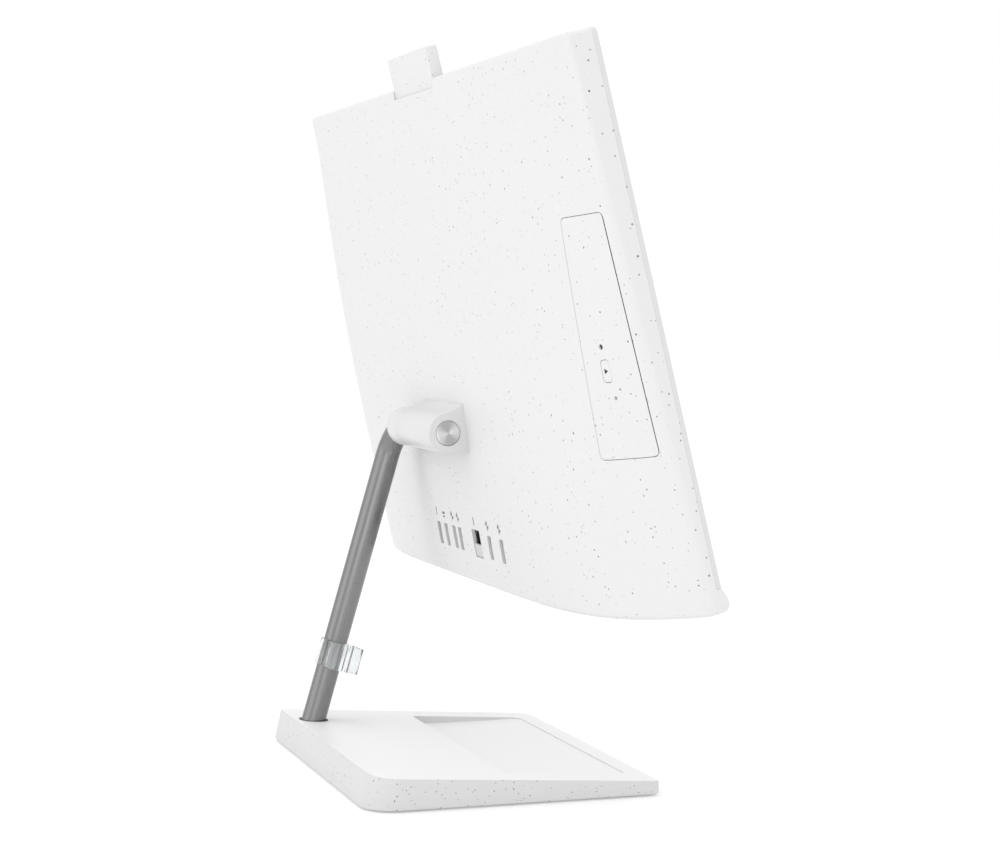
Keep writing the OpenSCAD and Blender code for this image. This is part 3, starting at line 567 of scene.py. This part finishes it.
drive_lo, drive_hi = DRIVE_MID - DRIVE_LEN / 2, DRIVE_MID + DRIVE_LEN / 2
cutters = []
cutters.append(prism(rounded((DRIVE_X0 + DRIVE_X1) / 2 + GAP, DRIVE_MID, DRIVE_X1 - DRIVE_X0,
                             DRIVE_LEN + 0.6, 3.4), 13.0, 62, "t"))
for x in USB_X + (INLET_X, VIDEO_X):
    cutters.append(prism(rounded(x, PORT_H, 6.6, 15, 0.8), 48.2, 60, "t"))
cutters.append(prism(rounded(NETWORK_X, PORT_H, 15.4, 18, 0.9), 48.2, 60, "t"))
cutters.append(box(CAM_X - CAM_W / 2 - 0.4, CAM_X + CAM_W / 2 + 0.4, 9.9, 18.2, 262, 320))
for x in SCREW_X:
    cutters.append(prism(arc(x, SCREW_T, 3.0, 0, 348.75, 31), -1, 1.6, "z"))
for i in range(16):
    cutters.append(prism(rounded(64 + 9 * i, 11.75, 4, 5.5, 1.2, 4), HEAD_H - 8, HEAD_H + 2, "z"))
    cutters.append(prism(rounded(-204 + 9 * i, 17, 4, 14, 1.9, 5), -1, 6, "z"))
    cutters.append(prism(rounded(72 + 9 * i, 17, 4, 14, 1.9, 5), -1, 6, "z"))
cutters.append(prism(rounded(245, 9, 12.6, 5.0, 2.4), -1, 7, "z"))
cut(cover, join(*cutters))
cut(cover, join(box(CAM_X - CAM_W / 2 - 0.4, CAM_X + CAM_W / 2 + 0.4, 17.0, 32, HEAD_H - 6, 321),
                *(prism(arc(x, SCREW_T, 1.6, 0, 348.75, 31), 1, 7, "z") for x in SCREW_X)))

# ---------------------------------------------------------------- front frame, chin and screen
front = make("front_frame_ring", prism(rounded(0, (HEAD_H + CHIN_H) / 2, HALF_W * 2, HEAD_H - CHIN_H,
                                               (0.5, 4, 4, 0.5)),
                                       0, FRAME_T, "t", 0.45), HEAD, "head", "plain_white", ("front_frame",))
cut(front, join(prism(rounded(0, (HEAD_H + CHIN_H) / 2 - 0.7, HALF_W * 2 - 3.6, HEAD_H - CHIN_H - 2.2, 2.4),
                      -1, 2.2, "t"),
                box(-HALF_W + 4, HALF_W - 4, 2.1, 5, CHIN_H + 2, HEAD_H - 4)))


def chin_profile():
    """Chin in side view: it swells forward below the screen and rounds under."""
    pts = [(FRAME_T, CHIN_H), (0.2, CHIN_H)]
    pts += [(-2.6 * math.sin(math.pi / 2 * s) + 0.1 * (1 - s),
             CHIN_H - 8.4 * s) for s in (0.2, 0.4, 0.6, 0.8, 1.0)]
    pts += [(-2.6 + 4.4 * (1 - math.cos(math.radians(a))),
             5.6 - 5.6 * math.sin(math.radians(a))) for a in range(15, 91, 15)]
    pts += [(FRAME_T, 0.0)]
    return pts


chin = make("chin_bar_face", prism(chin_profile(), -HALF_W, HALF_W, "x"), HEAD, "head", "chin_fabric",
            ("chin_bar",))
cut(chin, prism(rounded(0, CHIN_H / 2 + 20, HALF_W * 2, CHIN_H + 40, (5.4, 1, 1, 5.4)), -9, 9, "t"),
    keep=False, mode="INTERSECT")
slots = [prism(rounded(first + 2.4 * i, 7.75, 1.0, 5.5, 0.49, 4), -5, 9,
               "t") for first in (-213.5, 120.5) for i in range(40)]
cut(chin, join(*slots), keep=False)
make("speaker_mesh_left", prism(rounded(-166.7, 7.75, 98, 7.2, 1), 0.6, 1.4, "t", 0.2), HEAD, "head",
     "black_plastic")
make("speaker_mesh_right", prism(rounded(167.3, 7.75, 98, 7.2, 1), 0.6, 1.4, "t", 0.2), HEAD, "head",
     "black_plastic")

make("screen_cover_glass", prism(rounded(0, (CHIN_H + 0.6 + HEAD_H - 2) / 2, HALF_W * 2 - 4,
                                         HEAD_H - CHIN_H - 2.6, 2.2),
                                         0.3, 2.0, "t", 0.25), HEAD, "head", "screen_glass",
                                         ("display_glass",))

# ---------------------------------------------------------------- optical drive door
under = lambda x, h: back_t(DRIVE_X0, h) + GAP


def door_shape():
    x0, x1, h0, h1 = DRIVE_X0 + 1, DRIVE_X1, drive_lo, drive_hi
    v, f, wall = skin(x0, x1, h0, h1, (3.0,) * 4, (0.35, 0.35, 0.35, 0.03), back_t, 3.6, 20, 56, turns=3)
    n = len(v)
    low = [(a, under(a, c), c) for a, _, c in v[:21 * 57]]
    # flat underside: one ring and the same grid of places
    verts = v + low
    faces = list(f)
    xs, hs = 21, 57
    for j in range(hs - 1):
        for i in range(xs - 1):
            a = n + j * xs + i
            faces.append([a, a + xs, a + xs + 1, a + 1])
    start = len(verts)
    verts += [(v[i][0], under(v[i][0], v[i][2]), v[i][2]) for i in wall]
    ring = list(range(start, start + len(wall)))
    band(faces, wall, ring)
    # underside between the ring and its grid
    last = n_ring_targets(xs, hs)
    m = len(ring)
    for i in range(m):
        j = (i + 1) % m
        gi, gj = last[i] + n, last[j] + n
        faces.append([ring[i], ring[j], gj, gi] if gi != gj else [ring[i], ring[j], gi])
    return verts, faces


def n_ring_targets(xs, hs):
    """Grid vertex that each rim vertex belongs to, in the order that skin() makes its ring."""
    cols, rows = xs - 1, hs - 1
    order = list(range(xs)) + [cols] * 7 + [j * xs + cols for j in range(hs)] + [rows * xs + cols] * 7
    order += [rows * xs + i for i in reversed(range(xs))] + [rows * xs] * 7
    order += [j * xs for j in reversed(range(hs))] + [0] * 7
    return order


door = make("drive_door", door_shape(), HEAD, "drive_tray", "shell", ("drive_bezel",))
eject_t = back_t(EJECT_X, EJECT_H)
cut(door, join(prism(rounded(EJECT_X, EJECT_H, 6.8, 12.6, 2.2), eject_t - 5.4, 60, "t"),
               peg(LAMP_X, LAMP_H, 1.5, 18, 40, 32), peg(RELEASE_X, RELEASE_H, 1.1, 17.6, 40, 32)))
make("drive_lamp", peg(LAMP_X, LAMP_H, 1.4, back_t(LAMP_X, LAMP_H) - 1.6, back_t(LAMP_X, LAMP_H) - 0.3, 32,
                       0.12), HEAD,
            "drive_tray", "black_plastic", (), MATS["ink"])
# painted shade: a black sleeve fills the pin hole 1.2 mm below the surface so the hole reads dark
make("release_hole_painted_shade", peg(RELEASE_X, RELEASE_H, 1.1, 18.0, back_t(RELEASE_X, RELEASE_H) - 1.2, 24),
     HEAD, "drive_tray",
     "black_plastic", (), MATS["ink"])


def button_shape():
    v, f, wall = skin(EJECT_X - 3.1, EJECT_X + 3.1, EJECT_H - 6.0, EJECT_H + 6.0, (2.0,) * 4, (0.45,) * 4,
                      lambda x, h: back_t(x, h) - 0.02, 2.6, 4, 12, turns=4)
    floor = eject_t - 4.0
    start = len(v)
    verts = v + [(v[i][0], floor, v[i][2]) for i in wall]
    ring = list(range(start, start + len(wall)))
    band(f, wall, ring)
    f.append(ring)
    return verts, f


make("eject_key", button_shape(), HEAD, "eject_button", "shell", ("eject_button",))


def decal(name, outline, body, material, lift=0.03, x0=0.0, h0=0.0):
    """Thin printed mark that follows the curved back."""
    verts = [(x0 + u, back_t(x0 + u, h0 + v) + lift, h0 + v) for u, v in outline]
    n = len(verts)
    verts += [(x0 + u, back_t(x0 + u, h0 + v) - 0.25, h0 + v) for u, v in outline]
    faces = [list(range(n)), list(range(2 * n - 1, n - 1, -1))]
    faces += [[i, i + n, (i + 1) % n + n, (i + 1) % n] for i in range(n)]
    return make(name, (verts, faces), HEAD, body, "grey_plastic", (), material)


decal("eject_mark", [(1.2, -1.5), (1.2, 1.5), (-1.5, 0.0)], "eject_button", MATS["ink"], 0.0, EJECT_X,
      EJECT_H)

# ---------------------------------------------------------------- port marks
bar = lambda w, h, r=0.25: rounded(0, 0, w, h, min(r, w / 2.01, h / 2.01), 3)
marks = [("power_mark", INLET_X, bar(1.3, 5.6)), ("video_mark", VIDEO_X, bar(5.4, 1.5)),
         ("network_mark", NETWORK_X, bar(1.5, 5.2))]
for label, x, outline in marks:
    decal(label, outline, "head", MATS["mark"], 0.02, x + 0.5, PORT_H + 14.4)
decal("video_mark_low", bar(3.6, 1.3), "head", MATS["mark"], 0.02, VIDEO_X + 0.5, PORT_H + 12.0)
for k, x in enumerate(USB_X):
    decal(f"usb_stem_{k}", bar(1.1, 6.4), "head", MATS["mark"], 0.02, x, PORT_H + 14.0)
    decal(f"usb_dot_{k}", bar(2.0, 1.9, 0.8), "head", MATS["mark"], 0.02, x - 1.75, PORT_H + 13.0)
    decal(f"usb_box_{k}", bar(1.8, 1.8, 0.1), "head", MATS["mark"], 0.02, x + 1.65, PORT_H + 15.0)

# ---------------------------------------------------------------- ports
for n in ("usb_ports", "video_port", "power_inlet", "network_jack"):
    bevel_edges(nodes[n], 0.12, 2)
contacts = [box(NETWORK_X - 3.6 + 1.02 * i, NETWORK_X - 3.2 + 1.02 * i, 41.2, 47, PORT_H - 6.6,
                PORT_H - 6.1) for i in range(8)]
make("jack_contacts", join(*contacts), HEAD, "head", "port_metal")
flap_h = 19.9
make("jack_flap", join(prism(rounded(NETWORK_X, (flap_h + 27.6) / 2, 13.8, 27.6 - flap_h, 0.7), 51.5, 52.9,
                             "t", 0.3),
                              rod(52.0, flap_h, 0.8, NETWORK_X - 6.9, NETWORK_X + 6.9, 24, 0.2)),
            HEAD, "port_flap", "grey_plastic", ("network_jack_flap",))

# ---------------------------------------------------------------- camera
housing = make("camera_shell", prism(rounded(CAM_X, (CAM_LO + CAM_HI) / 2, CAM_W, CAM_HI - CAM_LO,
                                             (1.2, 1.6, 1.6, 1.2)),
                                     CAM_T[0], CAM_T[1], "t", 0.5), HEAD, "camera", "shell",
                                     ("camera_housing",))
cut(housing, join(prism(rounded(CAM_X, LENS_H, 44, 12.4, 5), 9, CAM_T[0] + 0.9, "t"),
                  peg(CAM_X, LENS_H, 3.7, 11, 14)))
window = make("camera_glass", prism(rounded(CAM_X, LENS_H, 43.6, 12, 4.8), CAM_T[0] + 0.1, CAM_T[0] + 0.9,
                                    "t", 0.2), HEAD,
              "camera", "screen_glass", ("camera_window",))
cut(window, peg(CAM_X, LENS_H, 3.2, 9, 14), keep=False)


def dome(x, h, r, t, depth, rings=8, n=40):
    """Lens face: a shallow dome towards the front, closed behind."""
    verts, faces = [], []
    for k in range(rings):
        a = math.pi / 2 * (k + 1) / rings
        for i in range(n):
            b = 2 * math.pi * i / n
            verts.append((x + r * math.sin(a) * math.cos(b), t + depth * (1 - math.cos(a)),
                          h + r * math.sin(a) * math.sin(b)))
    top = len(verts)
    verts.append((x, t, h))
    faces += [[top, (i + 1) % n, i] for i in range(n)]
    for k in range(rings - 1):
        for i in range(n):
            j = (i + 1) % n
            faces.append([k * n + i, k * n + j, (k + 1) * n + j, (k + 1) * n + i])
    start = len(verts)
    verts += [(x + r * math.cos(2 * math.pi * i / n), t + depth + 1.8,
               h + r * math.sin(2 * math.pi * i / n)) for i in range(n)]
    for i in range(n):
        j = (i + 1) % n
        faces.append([(rings - 1) * n + i, (rings - 1) * n + j, start + j, start + i])
    faces.append([start + i for i in range(n)])
    return verts, faces


make("camera_lens_dome", dome(CAM_X, LENS_H, 3.0, CAM_T[0] + 0.35, 0.9), HEAD, "camera", "lens_glass",
     ("camera_lens",))
make("camera_microphone_left", peg(CAM_X - 15, LENS_H, 0.7, CAM_T[0] - 0.02, CAM_T[0] + 0.5, 20), HEAD,
     "camera", "black_plastic", (), MATS["ink"])
make("camera_microphone_right", peg(CAM_X + 15, LENS_H, 0.7, CAM_T[0] - 0.02, CAM_T[0] + 0.5, 20), HEAD,
     "camera", "black_plastic", (), MATS["ink"])


# ---------------------------------------------------------------- hinge block
def foot_t(h):
    return mid_t(h / HEAD_H) - 0.6


def block_outline():
    """Side view: a barrel that runs down into a foot on the back of the head."""
    low_t, high_h = BARREL_T - 1.0, BARREL_H + BARREL_R - 0.08
    ridge = (foot_t(BLOCK_H[1]) + 1.6, BLOCK_H[1])
    bend = (52.5, high_h + 0.3)
    pts = [(foot_t(BLOCK_H[0]), BLOCK_H[0])]
    a0 = -90 - math.degrees(math.asin(1.0 / BARREL_R))
    pts += arc(BARREL_T, BARREL_H, BARREL_R, a0, 90 + math.degrees(math.asin(1.0 / BARREL_R)), 48)
    high = (low_t, high_h)
    for k in range(1, 13):
        s = k / 12
        pts.append(tuple((1 - s) ** 2 * high[i] + 2 * s * (1 - s) * bend[i] + s * s * ridge[i]
                         for i in (0, 1)))
    pts.append((foot_t(BLOCK_H[1]), BLOCK_H[1]))
    return pts


block = make("hinge_body", prism(block_outline(), BARREL_X0, BLOCK_X1, "x", 0.7, 3, 40), HEAD, "head",
             "plain_white", ("hinge_block",))
cut(block, join(rod(BARREL_T, BARREL_H, 7.85, BARREL_X0 - 1, BARREL_X0 + 3)), keep=True)
sleeve = make("hinge_sleeve", rod(BARREL_T, BARREL_H, BARREL_R, BLOCK_X1 - 8, BARREL_X1, 96, 0.9, 4), HEAD,
              "head", "plain_white")
cut(sleeve, rod(BARREL_T, BARREL_H, POST_R + 1.25, BARREL_X1 - 6, BARREL_X1 + 1, 64))


def turned_cap():
    """End disc of the hinge: a thin rim and a face that dips slightly to its middle."""
    n, r = 96, 7.7
    profile = [(0.0, 0.12), (0.8, 0.05), (r - 1.4, 0.0), (r - 0.5, 0.0), (r - 0.15, 0.12), (r, 0.4), (r, 2.8)]
    verts, faces = [(BARREL_X0 - 0.2 + profile[0][1], 0, 0)], []
    for radius, x in profile[1:]:
        verts += [(BARREL_X0 - 0.2 + x, radius * math.cos(2 * math.pi * i / n),
                   radius * math.sin(2 * math.pi * i / n)) for i in range(n)]
    faces += [[0, 1 + i, 1 + (i + 1) % n] for i in range(n)]
    for k in range(len(profile) - 2):
        for i in range(n):
            a, b = 1 + k * n + i, 1 + k * n + (i + 1) % n
            faces.append([a, a + n, b + n, b])
    faces.append([1 + (len(profile) - 2) * n + i for i in range(n)])
    return verts, faces


make("hinge_end_disc", turned_cap(), HINGE, "stand", "cap_metal", ("post_end_cap",))


# ---------------------------------------------------------------- post
def tube(path, radius, n=64):
    """Swept round bar along points that stay in the x-z plane."""
    verts, faces = [], []
    for k, p in enumerate(path):
        a = Vector(path[max(0, k - 1)])
        b = Vector(path[min(len(path) - 1, k + 1)])
        d = (b - a).normalized()
        side = Vector((0, 1, 0))
        other = d.cross(side).normalized()
        for i in range(n):
            w = 2 * math.pi * i / n
            verts.append(tuple(Vector(p) + side * radius * math.cos(w) + other * radius * math.sin(w)))
    for k in range(len(path) - 1):
        for i in range(n):
            j = (i + 1) % n
            faces.append([k * n + i, k * n + j, (k + 1) * n + j, (k + 1) * n + i])
    faces.append(list(range(n)))
    faces.append([(len(path) - 1) * n + i for i in reversed(range(n))])
    return verts, faces


bend = [(POST_X - BEND_R + BEND_R * math.cos(math.radians(a)), 0,
         -BEND_R + BEND_R * math.sin(math.radians(a))) for a in range(0, 91, 5)]
post_path = [(POST_X, 0, -POST_LEN)] + [(POST_X, 0, -POST_LEN + 20 * k) for k in range(1, 10)]
post_path += bend + [(0, 0, 0), (-34.4, 0, 0)]
make("post_tube", tube(post_path, POST_R, 96), POST, "stand", "post_metal", ("post",), None, 60)


# ---------------------------------------------------------------- clip
clip_z = (-165.0, -148.0)
CLIP_TURN = -75
def round_post(shape, deg):
    """Turns a shape about the post's axis."""
    c, q = math.cos(math.radians(deg)), math.sin(math.radians(deg))
    return [(POST_X + c * (x - POST_X) - q * y, q * (x - POST_X) + c * y, z) for x, y,
            z in shape[0]], shape[1]


clip = make("clear_clip", round_post(prism(arc(POST_X, 0, POST_R + 2, 0, 354.375, 63), *clip_z, "z", 0.4),
                                     CLIP_TURN), POST,
            "cable_clip", "clear", ("cable_clip",))
for mode, shape in (("UNION", prism(rounded(POST_X, -13, 20, 18, (1.2, 1.2, 1.2, 1.2), 4), *clip_z, "z",
                                    0.4)),
                    ("DIFFERENCE", prism(arc(POST_X, 0, POST_R + 0.1, 0, 354.375, 63), clip_z[0] - 1,
                                         clip_z[1] + 1, "z")),
                    ("DIFFERENCE", join(prism(rounded(POST_X, -15.3, 17.2, 10.6, 0.8, 4), clip_z[0] - 1,
                                              clip_z[1] + 1, "z"),
                                        prism(rounded(POST_X, 10, 6, 20, 0.1, 2), clip_z[0] - 1,
                                              clip_z[1] + 1, "z")))):
    cut(clip, round_post(shape, CLIP_TURN), keep=False, mode=mode)


# ---------------------------------------------------------------- base
def top_z(y):
    return BASE_FRONT + (y + BASE_D / 2) * (BASE_BACK - BASE_FRONT) / BASE_D


def lean(v):
    """Leans the back wall inward and keeps the top on its slope."""
    x, y, z = v
    share = max(0.0, min(1.0, (y - 45.0) / 45.0))
    rise = max(0.0, min(1.0, (z - 3.0) / (BASE_BACK - 3.0)))
    y2 = y - LEAN_BACK * rise * share * share
    return (x, y2, z + (top_z(y2) - top_z(y)) * rise)


def base_shape():
    v, f, wall = skin(-BASE_W / 2, BASE_W / 2, -BASE_D / 2, BASE_D / 2, (11.0, 4.5, 20.0, 5.0),
                      (1.2, 1.2, 1.0, 1.2),
                      lambda x, y: top_z(y), 22.0, 40, 30, turns=5, corner_n=14)
    # skin() works in (x, t, h); the base uses (x, y) as its plan and t as its height
    verts = [(a, c, b) for a, b, c in v]
    rings = [wall]
    for inset, z in ((0.0, 2.2), (0.25, 1.5), (0.9, 1.02)):
        start = len(verts)
        for i in wall:
            x, y, _ = verts[i]
            k = 1 - inset / 100.0
            verts.append((x * k, y * k, z))
        rings.append(list(range(start, start + len(wall))))
    for a, b in zip(rings, rings[1:]):
        band(f, a, b)
    f.append(list(rings[-1]))
    return [lean(p) for p in verts], f


base = make("base_body", base_shape(), TABLE, "stand", "shell", ("base_shell", "base_top", "base_bottom"),
            MATS["base_shell"])
recess = prism(rounded(0, -38.5, 200, 77, (7, 2.2, 2.2, 7), 8), 9.25, 40, "z", 0.8, 4, 60)
cut(base, recess)


def post_hole(r, z0, z1, n=64):
    """Cylinder along the leaning post, in the table frame."""
    verts, faces = [], []
    for z in (z0, z1):
        for i in range(n):
            w = 2 * math.pi * i / n
            p = POST @ Vector(((POST_X + r * math.cos(w)) * MM, r * math.sin(w) * MM, z * MM))
            verts.append(tuple(c / MM for c in p))
    faces.append(list(range(n)))
    faces.append([n + i for i in reversed(range(n))])
    faces += [[i, (i + 1) % n, n + (i + 1) % n, n + i] for i in range(n)]
    return verts, faces


cut(base, join(post_hole(POST_R + 1.6, -206, -150)))
# painted light: faces that look straight up get the brighter smooth white, the rest keeps the darker speckled
# white of the sides
base.data.materials.append(MATS["base_top"])
painted_light_top_slot = len(base.data.materials) - 1
for face in base.data.polygons:
    if face.normal.z > 0.97:
        face.material_index = painted_light_top_slot

# ---------------------------------------------------------------- CAD nodes that stay, with softer edges
for n, w in (("base_feet", 0.5), ("disc_tray", 0.35), ("disc_hub", 0.4), ("power_button", 0.3),
             ("optical_drive", 0.3),
             ("hard_drive", 0.4), ("motherboard", 0.1), ("memory_modules", 0.1), ("chassis_plate", 0.15),
             ("fan_rotor", 0.15),
             ("lcd_module", 0.4), ("post_flange", 0.4), ("hinge_bracket", 0.3), ("base_weight", 0.4),
             ("cover_screws", 0.2),
             ("camera_guide", 0.3), ("post_grommet", 0.2)):
    bevel_edges(nodes[n], w, 2)

# ---------------------------------------------------------------- floor, light, view
def plain(name, colour, rough, glow=0.0):
    m, _, bsdf = new_material(name)
    bsdf.inputs["Base Color"].default_value = (*colour, 1)
    bsdf.inputs["Roughness"].default_value = rough
    bsdf.inputs["Emission Color"].default_value = (1, 1, 1, 1)
    bsdf.inputs["Emission Strength"].default_value = glow
    return m


floor_mesh = bpy.data.meshes.new("floor")
floor_mesh.from_pydata([(-12, -12, 0), (12, -12, 0), (12, 12, 0), (-12, 12, 0)], [], [[0, 1, 2, 3]])
floor = bpy.data.objects.new("floor", floor_mesh)
scene.collection.objects.link(floor)
floor_mesh.materials.append(plain("pale_floor", (0.8, 0.8, 0.8), 0.8, 0.2))

world = bpy.data.worlds.new("studio")
world.use_nodes = True
world.node_tree.nodes["Background"].inputs[0].default_value = (1, 1, 1, 1)
world.node_tree.nodes["Background"].inputs[1].default_value = 1.0
scene.world = world


def area(name, place, aim, size, power):
    data = bpy.data.lights.new(name, "AREA")
    data.shape = "RECTANGLE"
    data.size, data.size_y = size
    data.energy = power
    obj = bpy.data.objects.new(name, data)
    scene.collection.objects.link(obj)
    d = (Vector(aim) - Vector(place)).normalized()
    obj.matrix_world = Matrix.Translation(place) @ d.to_track_quat("-Z", "Y").to_matrix().to_4x4()
    return obj


area("key", (0.1, 2.4, 1.2), (0, 0, 0.2), (2.2, 2.0), 8)
area("top", (0.3, 0.4, 2.6), (0, 0, 0.1), (1.8, 1.8), 8)
area("fill", (-2.2, 1.0, 0.9), (0, 0, 0.25), (1.6, 1.6), 6)
scene.view_settings.view_transform = "Standard"
scene.view_settings.look = "None"
